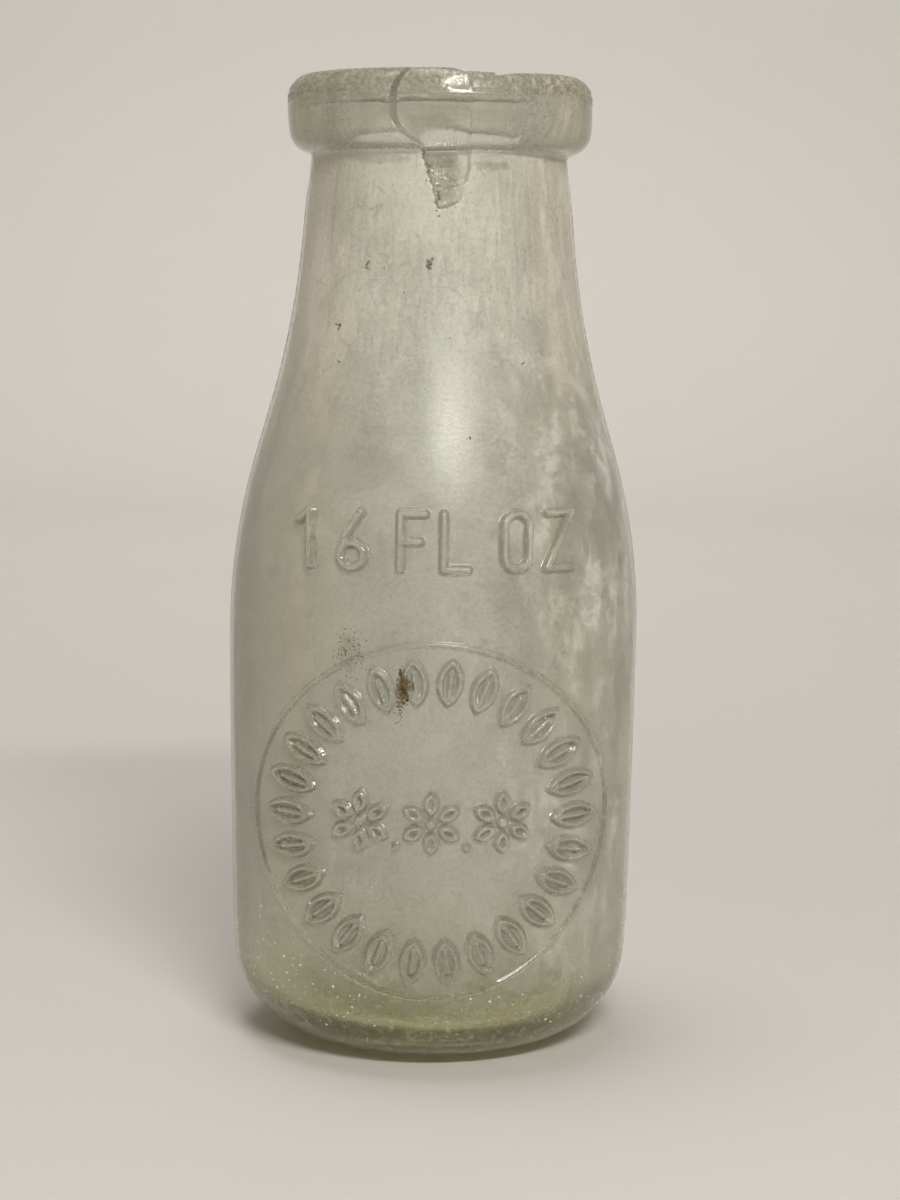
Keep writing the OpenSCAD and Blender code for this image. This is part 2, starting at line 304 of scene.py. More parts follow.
def relief_height(theta, r, z):
    """Height of the raised marks, and the distance to their nearest edge."""
    x = r * np.sin(theta)
    front = np.cos(theta) > 0.25
    gap = np.full(x.shape, FAR)
    height = np.zeros(x.shape)

    def add(distance, half_width, rise, soft=0.18):
        nonlocal gap, height
        t = np.clip((half_width + soft - distance) / (2 * soft), 0, 1)
        height = np.maximum(height, rise * t * t * (3 - 2 * t))
        gap = np.minimum(gap, np.abs(distance - half_width))

    zp = z - PLATE_Z
    radius = np.hypot(x, zp)
    add(np.abs(radius - PLATE_R), STROKE * 0.3, RELIEF * 0.4)
    for i in range(LEAF_COUNT):
        a = TAU * (i + 0.5) / LEAF_COUNT
        u = x * math.cos(a) - zp * math.sin(a)
        v = x * math.sin(a) + zp * math.cos(a) - LEAF_RING_R
        close = np.abs(u) + np.abs(v) < LEAF_LEN
        add(np.where(close, to_leaf(u, v), FAR), STROKE * 0.36, RELIEF)
    for i in (-1, 0, 1):
        xf = x - i * FLOWER_GAP
        add(to_petals(xf, zp), STROKE * 0.36, RELIEF * 1.15)
        add(np.hypot(xf, zp), EYE_R, RELIEF * 1.15)
    for side in (-1, 1):
        add(np.hypot(x - side * FLOWER_GAP / 2, zp + FLOWER_R * 0.8), STROKE * 0.5, RELIEF)
    for place, strokes in figures():
        for stroke in strokes:
            add(to_path(x - place, z - CAPACITY_Z, stroke), STROKE * 0.5, RELIEF * 1.1)
    near = (radius < PLATE_R + 4) | (np.abs(z - CAPACITY_Z) < FIGURE_H)
    return np.where(front, height, 0.0), np.where(front & near, gap, FAR)


# ---------------------------------------------------------------------------------------------
# Irregular glass: slow waves, the lip's chip, wear and the mould seams
# ---------------------------------------------------------------------------------------------
def waves(theta, z, count, turns, per_mm, seed):
    """Smooth, seeded unevenness about zero, periodic round the bottle."""
    pick = np.random.default_rng(seed)
    total = np.zeros(theta.shape)
    for _ in range(count):
        m = pick.integers(turns[0], turns[1] + 1)
        q = pick.uniform(per_mm[0], per_mm[1]) * TAU
        total += pick.normal() * np.sin(m * theta + q * z + pick.uniform(0, TAU))
    return total / math.sqrt(count)


def smooth(edge0, edge1, x):
    """A smooth step from 0 at edge0 to 1 at edge1."""
    t = np.clip((x - edge0) / (edge1 - edge0), 0, 1)
    return t * t * (3 - 2 * t)


def chip_edge(z):
    """Arc length from the front of the flake's left edge, at height z on the lip."""
    sweep = CHIP_SWEEP * (np.clip(CHIP_SWEEP_Z - z, 0, CHIP_SWEEP_H) / CHIP_SWEEP_H) ** 1.6
    curl = CHIP_CURL * (np.maximum(z - CHIP_CURL_Z, 0) / CHIP_CURL_H) ** 2
    return CHIP_LEFT + curl + sweep


def chip_depth(a, z):
    """How far the flake's hollow face lies inside the outer surface; a is the arc length from the front."""
    into = a - chip_edge(z)
    face = CHIP_DEPTH * smooth(-0.1, 1.0, into) * (0.30 + 0.70 * (1 - smooth(0.5, 13.0, into)))
    face = face * (1 - smooth(7.0, CHIP_RIGHT, a))
    crack = smooth(5.6, 5.9, a) * smooth(165, 167, z) * (1 - smooth(173.5, 175, z))
    face = face - 0.09 * CHIP_DEPTH * crack
    from_blow = np.hypot(a - 6.0, z - 179.0)
    ripple = RIPPLE_HEIGHT * np.sin(TAU * from_blow / RIPPLE_LEN)
    ripple = ripple * smooth(12, 16, a) * (1 - smooth(27, CHIP_RIGHT, a))
    return face + ripple * smooth(LIP_Z, LIP_Z + 3, z)


def tail_depth(a, z):
    """The flake's tail down the neck: three hollows one below the other, each with a ragged left edge."""
    depth = np.zeros(np.shape(a))
    for left, right, low_z, bow, slant, bite in TAIL_HOLLOWS:
        middle, half = (left + right) / 2, (right - left) / 2
        bowl = low_z + bow * (np.abs(a - middle) / half) ** 2.2 + slant * np.maximum(a - left, 0)
        ragged = 0.16 * np.sin(3.4 * z + 2.0 * low_z) + 0.09 * np.sin(8.1 * z)
        lean = left - TAIL_LEAN * np.maximum(z - low_z, 0) + ragged
        within = smooth(-0.12, 0.12, a - lean) * smooth(-0.12, 0.6, right - a)
        within = within * smooth(-0.1, 0.16, z - bowl)
        within = within * (1 - 0.65 * np.clip((a - lean) / (right - lean), 0, 1))
        tilt = 1.0 - 0.25 * np.clip((z - bowl) / 3.5, 0, 1)
        depth = np.maximum(depth, bite * within * tilt)
    return depth


def rim_drop(a):
    """How far the rim's top is worn and chipped down."""
    worn = 0.75 * smooth(2.0, 5.0, a) * (1 - smooth(12.0, CHIP_RIGHT, a))
    notch = 0.55 * smooth(10.5, 11.2, a) * (1 - smooth(12.5, 16.0, a))
    return worn + notch


def from_front(theta):
    """The turn from the front, between minus half a turn and half a turn."""
    return (theta + math.pi) % TAU - math.pi


def glass_point(theta, s):
    """Places points of the flat sheet (turn, path length) on the finished glass, in millimetres."""
    r, z, nr, nz = at(s)
    turned = from_front(theta)
    outer = (s < RIM_S).astype(float)
    relief, _ = relief_height(turned, r, z)
    out = outer * relief * (z < MARKS_TOP_Z) * (nr > OUTWARD)
    wall_part = smooth(6, 24, z) * (1 - smooth(LIP_Z - 14, LIP_Z - 2, z))
    slow = 0.10 * waves(theta, z, 9, (1, 4), (0.0, 0.012), 3)
    out = out + outer * wall_part * (slow + 0.025 * waves(theta, z, 12, (5, 16), (0.0, 0.02), 4))
    inner = (1 - outer) * (1 - smooth(THROAT_LOW_Z - 16, THROAT_LOW_Z - 1, z)) * smooth(8, 22, z)
    inner_waves = 0.30 * waves(theta, z, 8, (1, 4), (0.0, 0.012), 5)
    inner_waves = inner_waves + 0.08 * waves(theta, z, 14, (6, 22), (0.0, 0.010), 6)
    inner_waves = inner_waves + 0.03 * waves(theta, z, 16, (8, 30), (0.01, 0.05), 7)
    out = out + inner * inner_waves
    seam_gap = np.abs(np.abs(turned) - math.pi / 2) * r
    seam_part = outer * smooth(16, 22, z) * (1 - smooth(LIP_Z - 9, LIP_Z - 3, z))
    out = out + SEAM_H * np.exp(-((seam_gap / SEAM_W) ** 2)) * seam_part
    lip_band = outer * smooth(LIP_Z - 0.5, LIP_Z + 2, z)
    grooves = 0.10 * np.sin(TAU * z / 1.15) * smooth(174.2, 175.2, z) * (1 - smooth(178.2, 179, z))
    out = out + lip_band * (grooves + 0.05 * waves(theta, z, 10, (2, 12), (0.0, 0.1), 8))
    top_band = smooth(TOTAL_H - 4.5, TOTAL_H - 2.0, z)
    worn_top = 0.045 * waves(theta, z, 40, (20, 130), (-0.5, 0.5), 9)
    worn_top = worn_top + 0.025 * waves(theta, r, 30, (60, 240), (-0.6, 0.6), 10)
    out = out + top_band * worn_top
    r, z = r + out * nr, z + out * nz
    arc_len = turned * LIP_R
    on_lip = outer * smooth(LIP_Z - 0.3, LIP_Z + 0.3, z)
    share = np.clip((r - NECK_TOP_R) / (LIP_R - NECK_TOP_R), 0, 1)
    flake = on_lip * share * chip_depth(arc_len, z)
    tail = outer * (z > TAIL_LOW_Z) * (1 - on_lip) * tail_depth(turned * r, z)
    r = r - flake - tail
    broken = smooth(-0.5, 0.8, arc_len) * (1 - smooth(5.0, 6.5, arc_len)) * smooth(-1.0, 0, z - FACET_Z)
    facet = FACET_R - (z - FACET_Z) * math.tan(FACET_TILT)
    facet = facet + 0.025 * waves(theta, z, 30, (40, 160), (-0.5, 0.5), 12)
    r = np.where(outer * broken > 0, r + (np.minimum(r, facet) - r) * broken, r)
    drop = rim_drop(arc_len)
    crumbled = 0.05 * waves(theta, r, 30, (20, 120), (-0.3, 0.3), 11) * smooth(0, 0.1, drop)
    z = np.minimum(z, TOTAL_H - drop + crumbled)
    return np.stack([r * np.sin(theta), -r * np.cos(theta), z], -1)


def wanted_edge(theta, s):
    """Longest edge that a place on the sheet may have, in millimetres."""
    r, z, nr, _ = at(s)
    turned = from_front(theta)
    outer = s < RIM_S
    on_wall_side = outer & (nr > OUTWARD)
    _, gap = relief_height(turned, r, z)
    size = np.full(s.shape, 9.0)
    size = np.where(on_wall_side & (gap < 1.3), 0.8, size)
    size = np.where(on_wall_side & (gap < 0.5), FINE, size)
    arc_len = turned * LIP_R
    flake = outer & (z > LIP_Z - 0.5) & (arc_len > -11) & (arc_len < CHIP_RIGHT)
    size = np.where(flake, 0.7, size)
    at_edge = np.abs(arc_len - chip_edge(z) - 0.35) < 0.9
    at_crack = (np.abs(arc_len - CRACK_AT) < 0.5) & (z < 175)
    size = np.where(flake & (at_edge | at_crack), FINE, size)
    tail = outer & (z > 154.5) & (z < LIP_Z) & (turned * r > -3.4) & (turned * r < 7)
    size = np.where(tail, 0.28, size)
    top = (s < INSIDE_S) & (z > TOTAL_H - 4.5)
    size = np.where(top, np.minimum(size, 0.7), size)
    size = np.where(top & (arc_len > -2) & (arc_len < 10), FINE, size)
    seam_gap = np.abs(np.abs(turned) - math.pi / 2) * r
    seam = outer & (seam_gap < 0.9) & (z > 16) & (z < LIP_Z - 2)
    return np.where(seam, np.minimum(size, 0.5), size)


# ---------------------------------------------------------------------------------------------
# Meshes
# ---------------------------------------------------------------------------------------------
COLUMNS = 96
REFINE_PASSES = 4
ROW_H = 2.4
INNER_ROW_H = 3.2
ROW_TURN = math.radians(11)
NO_GAP = 1e-3


def row_lengths():
    """Path lengths of the sheet's rows: closer together where the outline turns."""
    heading = np.unwrap(np.arctan2(np.gradient(PATH[:, 1]), np.gradient(PATH[:, 0])))
    dense = np.linspace(0, PATH_S[-1], 9000)
    turn = np.concatenate([[0], np.cumsum(np.abs(np.diff(np.interp(dense, PATH_S, heading))))])
    longest = np.where(dense < INSIDE_S, ROW_H, INNER_ROW_H)
    load = np.cumsum(np.gradient(dense) / longest) + turn / ROW_TURN
    count = int(load[-1])
    return np.interp(np.linspace(load[0], load[-1], count), load, dense)


def numbers(bm):
    """The sheet positions of the mesh's points."""
    return np.array([v.co[:2] for v in bm.verts])


def turn_of(x):
    """The turn at x on the sheet, whose edges meet at the back."""
    return x / LOW_R + math.pi


def refine(bm, passes):
    """Halves the sheet's edges that are longer than wanted_edge allows."""
    for _ in range(passes):
        bm.verts.index_update()
        co = numbers(bm)
        pairs = np.array([(e.verts[0].index, e.verts[1].index) for e in bm.edges])
        a, b = co[pairs[:, 0]], co[pairs[:, 1]]
        middle = (a + b) / 2
        r = at(middle[:, 1])[0]
        length = np.hypot((b[:, 0] - a[:, 0]) * r / LOW_R, b[:, 1] - a[:, 1])
        wanted = np.minimum.reduce([wanted_edge(turn_of(p[:, 0]), p[:, 1]) for p in (middle, a, b)])
        long_ones = length > wanted * 1.15
        bm.edges.ensure_lookup_table()
        chosen = [bm.edges[i] for i in np.nonzero(long_ones)[0]]
        if not chosen:
            return
        bmesh.ops.subdivide_edges(bm, edges=chosen, cuts=1, use_grid_fill=True)
        big = [f for f in bm.faces if len(f.verts) > 4]
        if big:
            bmesh.ops.triangulate(bm, faces=big)


def flat_sheet():
    """The glass unrolled: x is the turn times the low radius, y is the path length."""
    bm = bmesh.new()
    rows = row_lengths()
    width = TAU * LOW_R
    grid = [[bm.verts.new((width * i / COLUMNS, s, 0)) for i in range(COLUMNS + 1)] for s in rows]
    for low, high in zip(grid[:-1], grid[1:]):
        for i in range(COLUMNS):
            bm.faces.new((low[i], low[i + 1], high[i + 1], high[i]))
    return bm


def placed(name, verts, faces):
    """A smooth mesh object from points in millimetres."""
    mesh = bpy.data.meshes.new(name)
    mesh.from_pydata([tuple(p) for p in np.asarray(verts) * MM], [], faces)
    mesh.validate()
    mesh.shade_smooth()
    obj = bpy.data.objects.new(name, mesh)
    bpy.context.scene.collection.objects.link(obj)
    return obj


def glass_bottle():
    """The whole bottle as one closed surface, marked with its inside, the dirt and painted shade of its
    crevices, and its fresh break.
    """
    bm = flat_sheet()
    refine(bm, REFINE_PASSES)
    bm.verts.index_update()
    co = numbers(bm)
    faces = [[v.index for v in f.verts] for f in bm.faces]
    bm.free()
    ends = (co[:, 1] < NO_GAP) | (co[:, 1] > PATH_S[-1] - NO_GAP)
    x = np.where(ends | (co[:, 0] > TAU * LOW_R - NO_GAP), 0.0, co[:, 0])
    sheet, welded = np.unique(np.round(np.stack([x, co[:, 1]], -1), 3), axis=0, return_inverse=True)
    rings = [list(dict.fromkeys(welded.ravel()[f].tolist())) for f in faces]
    theta, s = turn_of(sheet[:, 0]), sheet[:, 1]
    bottle = placed("glass_bottle", glass_point(theta, s), [ring for ring in rings if len(ring) > 2])
    r, z, nr, _ = at(s)
    turned = from_front(theta)
    _, gap = relief_height(turned, r, z)
    ring = np.abs(np.hypot(r * np.sin(turned), z - PLATE_Z) - PLATE_R) < 1.2
    # Dark along the raised marks' edges, weaker on the plate's ring: partly dirt, partly painted shade
    grime = np.exp(-((gap / 0.28) ** 2)) * (s < RIM_S) * (nr > OUTWARD) * np.where(ring, 0.35, 1.0)
    arc_len = turned * r
    hollows = tail_depth(arc_len, z)
    near = 0.15
    slope = np.abs(tail_depth(arc_len + near, z) - hollows) + np.abs(tail_depth(arc_len, z + near) - hollows)
    at_tail = (s < RIM_S) * (z > TAIL_LOW_Z) * (z < LIP_Z)
    # Painted shade on the steps of the flake's tail, on its left side only
    grime = grime + np.clip(slope * 3, 0, 1) * at_tail * (arc_len < 3.5)
    # Painted shade in the cap seat's corner, darkening the ledge line
    seat = np.exp(-((np.hypot(r - SEAT_R, z - LEDGE_Z) / 0.4) ** 2)) * (s > RIM_S)
    fresh = smooth(0.02, 0.12, hollows) * (1 - smooth(1.5, 5.0, arc_len)) * at_tail
    for name, values in (("inside", s > INSIDE_S), ("crevice_dirt_and_shade", grime + seat), ("fresh", fresh)):
        layer = bottle.data.attributes.new(name, "FLOAT", "POINT")
        layer.data.foreach_set("value", values.astype(np.float32))
    return bottle


# ---------------------------------------------------------------------------------------------
# Loose matter on the glass: rust stain, dark specks and heel grit
# ---------------------------------------------------------------------------------------------
# Clusters of grains: centre x and z, spread in x and z, number of grains, least and greatest size
STAIN_CLUSTERS = (
    (-14.8, 77.8, 1.5, 2.0, 130, 0.05, 0.17),
    (-5.0, 72.4, 0.45, 1.2, 110, 0.12, 0.34),
    (-5.9, 69.6, 0.35, 1.4, 60, 0.08, 0.24),
    (-5.6, 67.4, 0.2, 1.2, 20, 0.06, 0.16),
    (-3.6, 72.6, 0.3, 1.0, 20, 0.08, 0.2),
)
SPECK_CLUSTERS = (
    (-1.6, 146.3, 0.22, 0.42, 16, 0.15, 0.38),
    (-12.6, 146.0, 0.18, 0.5, 9, 0.10, 0.28),
    (-17.5, 135.2, 0.22, 0.28, 9, 0.12, 0.32),
    (-17.8, 128.8, 0.5, 0.2, 6, 0.08, 0.2),
    (15.5, 128.5, 0.25, 0.3, 6, 0.08, 0.22),
    (6.0, 116.0, 0.3, 0.25, 6, 0.08, 0.25),
    (0.0, 158.3, 0.22, 1.1, 22, 0.10, 0.26),
    (-1.9, 163.4, 0.25, 1.1, 16, 0.07, 0.18),
    (1.6, 156.5, 0.8, 0.12, 10, 0.06, 0.16),
)
STREWN_SPECKS = 50
GRIT_COUNT = 1100
GRAIN_SIDES = 7
GRAIN_SPIN = 2.4


def on_wall(x, z):
    """Turn and path length of the outer wall's point seen from the front at x and height z."""
    return np.arcsin(np.clip(x / outer_r(z), -1, 1)), np.interp(z, *wall_heights())


def wall_heights():
    """Heights and path lengths of the outer wall, for looking up a path length."""
    clear_of_ends = 20.0
    part = (PATH_S > clear_of_ends) & (PATH_S < RIM_S - clear_of_ends)
    return PATH[part, 1], PATH_S[part]


def grain(centre, across, up, out, size, flat, seed):
    """A small irregular lump, its corners pushed about at random."""
    pick = np.random.default_rng(seed)
    ring = GRAIN_SIDES
    verts = [centre + out * size * flat]
    for level, width in ((0.45, 0.8), (-0.35, 1.0)):
        for k in range(ring):
            a = TAU * k / ring
            reach = size * width * pick.uniform(0.6, 1.25)
            beside = across * reach * math.cos(a) + up * reach * math.sin(a)
            verts.append(centre + beside + out * size * flat * level)
    verts.append(centre - out * size * flat)
    faces = [(0, 1 + k, 1 + (k + 1) % ring) for k in range(ring)]
    for k in range(ring):
        nxt = (k + 1) % ring
        faces.append((1 + k, 1 + ring + k, 1 + ring + nxt, 1 + nxt))
        faces.append((2 * ring + 1, 1 + ring + nxt, 1 + ring + k))
    return verts, faces


def scatter(name, places, flat):
    """One piece made of grains; places holds turn, path length and size in millimetres."""
    verts, faces = [], []
    step = 0.01
    theta, s, sizes = np.array(places).T
    here_all = glass_point(theta, s)
    across_all = glass_point(theta + step, s) - here_all
    up_all = glass_point(theta, s + step) - here_all
    for i, (here, across, up, size) in enumerate(zip(here_all, across_all, up_all, sizes)):
        across = across / np.linalg.norm(across)
        up = up / np.linalg.norm(up)
        out = np.cross(across, up)
        turn_c, turn_s = math.cos(i * GRAIN_SPIN), math.sin(i * GRAIN_SPIN)
        across, up = across * turn_c + up * turn_s, up * turn_c - across * turn_s
        new, sides = grain(here, across, up, out, size, flat, i)
        faces += [tuple(len(verts) + k for k in f) for f in sides]
        verts += list(new)
    return placed(name, verts, faces)


def gathered(clusters):
    """Grain places gathered about points on the front."""
    places = []
    for x, z, spread_x, spread_z, count, least, greatest in clusters:
        xs, zs = rng.normal(x, spread_x, count), rng.normal(z, spread_z, count)
        theta, s = on_wall(xs, zs)
        places += list(zip(theta, s, rng.uniform(least, greatest, count)))
    return places


def rust_flakes():
    """Brown stain on the edge of the round plate."""
    return scatter("rust_flakes", gathered(STAIN_CLUSTERS), 0.35)


def dark_specks():
    """Dark specks in clusters, and a few strewn over the front."""
    places = gathered(SPECK_CLUSTERS)
    theta = rng.uniform(-1.4, 1.4, STREWN_SPECKS)
    heights = rng.uniform(24, 160, STREWN_SPECKS)
    s = np.interp(heights, *wall_heights())
    places += list(zip(theta, s, 0.03 + rng.gamma(1.5, 0.03, STREWN_SPECKS)))
    return scatter("dark_specks", places, 0.3)


def heel_grit():
    """Pale grit all round the heel, thinning out upwards."""
    theta = rng.uniform(0, TAU, GRIT_COUNT)
    heights = 4 + rng.gamma(2.0, 6.5, GRIT_COUNT)
    s = np.interp(np.clip(heights, 3, 150), *wall_heights())
    size = 0.05 + rng.gamma(1.4, 0.04, GRIT_COUNT)
    return scatter("heel_grit", list(zip(theta, s, np.minimum(size, 0.30))), 0.45)


# ---------------------------------------------------------------------------------------------
# Materials
# ---------------------------------------------------------------------------------------------
# Zones of the glass in metres: where each begins and where it is complete
RIM_ZONE = (0.1755, 0.1785)
LIP_ZONE = (0.1655, 0.1685)
NECK_ZONE = (0.104, 0.142)
HEEL_ZONE = (0.004, 0.026)
FOOT_ZONE = (0.0095, 0.0125)
FRONT_HALF = (-0.02, -0.01)

CLEAR_TINT = (0.93, 0.935, 0.89, 1)
HEEL_TINT = (0.90, 0.895, 0.56, 1)
BODY_DUST = (0.75, 0.765, 0.69, 1)
FLANK_DUST = (0.76, 0.73, 0.60, 1)
NECK_DUST = (0.93, 0.94, 0.84, 1)
NECK_FLANK_DUST = (0.94, 0.88, 0.76, 1)
PATCH_DUST = (0.87, 0.86, 0.80, 1)
LEFT_DUST = (0.92, 0.90, 0.80, 1)
SAND_COLOUR = (0.46, 0.42, 0.33, 1)
RIM_COLOUR = (0.50, 0.46, 0.33, 1)
# One dark colour for dirt and for painted shade in the crevices and under the lip
DIRT_AND_SHADE_COLOUR = (0.20, 0.18, 0.12, 1)
RUST_COLOUR = (0.12, 0.075, 0.02, 1)
GLASS_ABSORPTION = (0.78, 0.77, 0.55, 1)
GLASS_DENSITY = 52.0
GLASS_IOR = 1.5


class Graph:
    """Short calls for building a material's nodes."""

    def __init__(self, name):
        self.material = bpy.data.materials.new(name)
        self.material.use_nodes = True
        self.tree = self.material.node_tree
        self.shader = self.tree.nodes["Principled BSDF"]
        self.output = self.tree.nodes["Material Output"]
        self.object = self.node("ShaderNodeTexCoord").outputs["Object"]
        self.x, self.y, self.z = self.node("ShaderNodeSeparateXYZ", Vector=self.object).outputs

    def node(self, kind, **inputs):
        """A node with its sockets set; an underscore in a key stands for a space."""
        node = self.tree.nodes.new(kind)
        for key, value in inputs.items():
            self.put(node.inputs[key.replace("_", " ")], value)
        return node

    def put(self, socket, value):
        """Links a socket or sets a plain value."""
        if isinstance(value, bpy.types.NodeSocket):
            self.tree.links.new(value, socket)
        else:
            socket.default_value = value

    def attribute(self, name):
        """The value that the mesh holds under a name."""
        node = self.node("ShaderNodeAttribute")
        node.attribute_name = name
        return node.outputs["Fac"]

    def math(self, how, a, b=0.0):
        node = self.tree.nodes.new("ShaderNodeMath")
        node.operation = how
        self.put(node.inputs[0], a)
        self.put(node.inputs[1], b)
        return node.outputs[0]

    def add(self, a, b):
        return self.math("ADD", a, b)

    def times(self, a, b):
        return self.math("MULTIPLY", a, b)

    def most(self, a, b):
        return self.math("MAXIMUM", a, b)

    def step(self, value, low, high, to_low=0.0, to_high=1.0):
        """A smooth step from to_low to to_high as value goes from low to high."""
        node = self.tree.nodes.new("ShaderNodeMapRange")
        node.interpolation_type = "SMOOTHSTEP"
        for i, v in enumerate((value, low, high, to_low, to_high)):
            self.put(node.inputs[i], v)
        return node.outputs[0]

    def stretched(self, x, y, z):
        return self.node("ShaderNodeMapping", Vector=self.object, Scale=(x, y, z)).outputs[0]

    def warped(self, scale, reach):
        """The object position pushed about by a noise, for wandering lines."""
        push = self.node("ShaderNodeTexNoise", Vector=self.object, Scale=scale, Detail=2.0).outputs["Color"]
        shift = self.tree.nodes.new("ShaderNodeVectorMath")
        shift.operation = "MULTIPLY_ADD"
        self.put(shift.inputs[0], push)
        shift.inputs[1].default_value = (reach,) * 3
        self.put(shift.inputs[2], self.object)
        return shift.outputs[0]

    def noise(self, scale, detail=4.0, rough=0.55, vector=None):
        return self.node("ShaderNodeTexNoise", Vector=vector or self.object, Scale=scale,
                         Detail=detail, Roughness=rough).outputs["Fac"]

    def mix(self, amount, a, b, kind="RGBA"):
        node = self.tree.nodes.new("ShaderNodeMix")
        node.data_type = kind
        self.put(node.inputs["Factor"], amount)
        self.put(node.inputs["A"], a)
        self.put(node.inputs["B"], b)
        return node.outputs["Result"]

    def bump(self, height, strength, distance, normal=None):
        node = self.node("ShaderNodeBump", Strength=strength, Distance=distance, Height=height)
        if normal:
            self.put(node.inputs["Normal"], normal)
        return node.outputs[0]

    def set(self, **values):
        for key, value in values.items():
            self.put(self.shader.inputs[key.replace("_", " ")], value)
        return self.material


def spot(g, x, z, half_x, half_z, ragged):
    """A ragged patch on the front about x and z, in metres."""
    dx = g.math("DIVIDE", g.math("SUBTRACT", g.x, x), half_x)
    dz = g.math("DIVIDE", g.math("SUBTRACT", g.z, z), half_z)
    reach = g.math("SQRT", g.add(g.times(dx, dx), g.times(dz, dz)))
    reach = g.add(reach, g.times(g.math("SUBTRACT", ragged, 0.5), 2.2))
    return g.times(g.step(reach, 0.6, 1.0, 1.0, 0.0), g.step(g.y, *FRONT_HALF, 1.0, 0.0))


def glass_material():
    """Old weathered glass: a dull skin, vertical streaks, whitish patches and dust at the heel."""
    g = Graph("old_glass")
    inner, fresh, crevice_dirt_and_shade = g.attribute("inside"), g.attribute("fresh"), g.attribute("crevice_dirt_and_shade")
    outside, unbroken = g.step(inner, 0, 1, 1.0, 0.0), g.step(fresh, 0, 1, 1.0, 0.0)
    rim = g.step(g.z, *RIM_ZONE)
    lip = g.step(g.z, *LIP_ZONE)
    off_lip = g.step(lip, 0, 1, 1.0, 0.0)
    heel = g.step(g.z, *HEEL_ZONE, 1.0, 0.0)
    neck = g.times(g.step(g.z, *NECK_ZONE), off_lip)
    right = g.step(g.x, 0.002, 0.030)
    flank = g.step(g.math("ABSOLUTE", g.x), 0.010, 0.024)
    left = g.times(g.step(g.x, -0.034, -0.014, 1.0, 0.0), g.step(g.z, 0.085, 0.118))

    # Patterns, from coarse to fine
    patches = g.step(g.noise(1.0, 7.0, 0.7, g.stretched(74, 74, 38)), 0.42, 0.62)
    patches = g.times(g.times(patches, g.step(neck, 0, 1, 1.0, 0.45)), g.step(lip, 0, 1, 1.0, 0.25))
    mottle = g.step(g.noise(95, 4.0, 0.6), 0.32, 0.68)
    streaks = g.step(g.noise(1.0, 2.5, 0.5, g.stretched(150, 150, 14)), 0.34, 0.70)
    wisps = g.step(g.noise(1.0, 2.0, 0.5, g.stretched(1300, 1300, 100)), 0.36, 0.70)
    fine = g.step(g.noise(260, 4.0, 0.65), 0.36, 0.64)
    grime = g.step(g.noise(700, 1.5, 0.6), 0.50, 0.70)
    specks = g.step(g.noise(1900, 1.0, 0.5), 0.69, 0.76)
    flecks = g.step(g.noise(2600, 1.0, 0.5), 0.35, 0.65)

    # The dull film: how far it hides the glass
    film = g.times(g.times(patches, g.add(0.25, g.times(fine, 0.75))), g.step(right, 0, 1, 0.18, 0.48))
    film = g.times(film, g.step(g.z, 0.010, 0.045, 0.4, 1.0))
    film = g.add(film, g.add(g.times(mottle, 0.15), g.times(flecks, 0.11)))
    film = g.add(film, g.times(g.times(streaks, flank), g.step(neck, 0, 1, 0.16, 0.26)))
    neck_left = g.times(g.step(g.x, -0.026, -0.008, 1.0, 0.0), 0.06)
    neck_film = g.add(g.add(0.18, g.times(wisps, 0.11)), neck_left)
    film = g.add(film, g.times(neck, neck_film))
    film = g.add(film, g.times(g.times(left, off_lip), 0.09))
    film = g.add(film, g.times(g.times(lip, flank), g.times(streaks, 0.16)))
    film = g.times(film, g.step(heel, 0, 1, 1.0, 0.35))
    film = g.add(film, g.times(g.times(heel, grime), 0.20))
    film = g.add(film, g.times(rim, g.add(0.08, g.times(grime, 0.25))))
    film = g.math("MINIMUM", g.add(film, 0.05), 0.75)
    film = g.times(g.times(film, g.step(inner, 0, 1, 1.0, 0.6)), g.step(fresh, 0, 1, 1.0, 0.2))

    # Rust stain, painted shade in two bands under the lip, cracked dirt on the neck, and dirt with painted
    # shade along the crevices
    faint_stain = g.times(spot(g, -0.0148, 0.0776, 0.0022, 0.0044, g.noise(1700, 3.0, 0.7)), 0.22)
    strong_stain = g.times(spot(g, -0.0052, 0.0716, 0.0013, 0.0034, g.noise(1000, 4.0, 0.6)), 0.85)
    rust = g.times(g.most(faint_stain, strong_stain), outside)
    # Painted shade: two soft dark bands under the lip, where the throat's end darkens the glass
    shade_band_noise = g.noise(500, 4.0, 0.6)
    painted_shade_bands = g.most(g.times(spot(g, 0.0098, 0.1640, 0.0040, 0.0010, shade_band_noise), 0.32),
                     g.times(spot(g, -0.0105, 0.1648, 0.0060, 0.0008, shade_band_noise), 0.25))
    cells = g.node("ShaderNodeTexVoronoi")
    cells.feature = "DISTANCE_TO_EDGE"
    g.put(cells.inputs["Vector"], g.warped(220, 0.0012))
    g.put(cells.inputs["Scale"], 280.0)
    cracked = g.step(g.noise(120, 2.0, 0.5), 0.56, 0.62)
    cracks = g.times(g.step(cells.outputs["Distance"], 0.0, 0.055, 1.0, 0.0), cracked)
    dirt_and_shade = g.times(g.most(specks, g.times(cracks, 0.6)), g.step(inner, 0, 1, 0.45, 0.0))
    dirt_and_shade = g.times(g.times(dirt_and_shade, neck), unbroken)
    # Dirt and painted shade along the raised marks, the tail's steps and the cap seat, broken up by noise
    edge = g.times(crevice_dirt_and_shade, g.step(g.noise(240, 4.0, 0.6), 0.35, 0.60, 0.20, 0.80))
    rim_dirt = g.times(rim, g.step(g.noise(1300, 1.0, 0.5), 0.44, 0.60))
    rim_dirt = g.times(rim_dirt, g.step(inner, 0, 1, 0.72, 0.2))
    dirt_and_shade = g.most(g.most(g.most(dirt_and_shade, edge), rim_dirt), painted_shade_bands)
    marks = g.most(rust, dirt_and_shade)

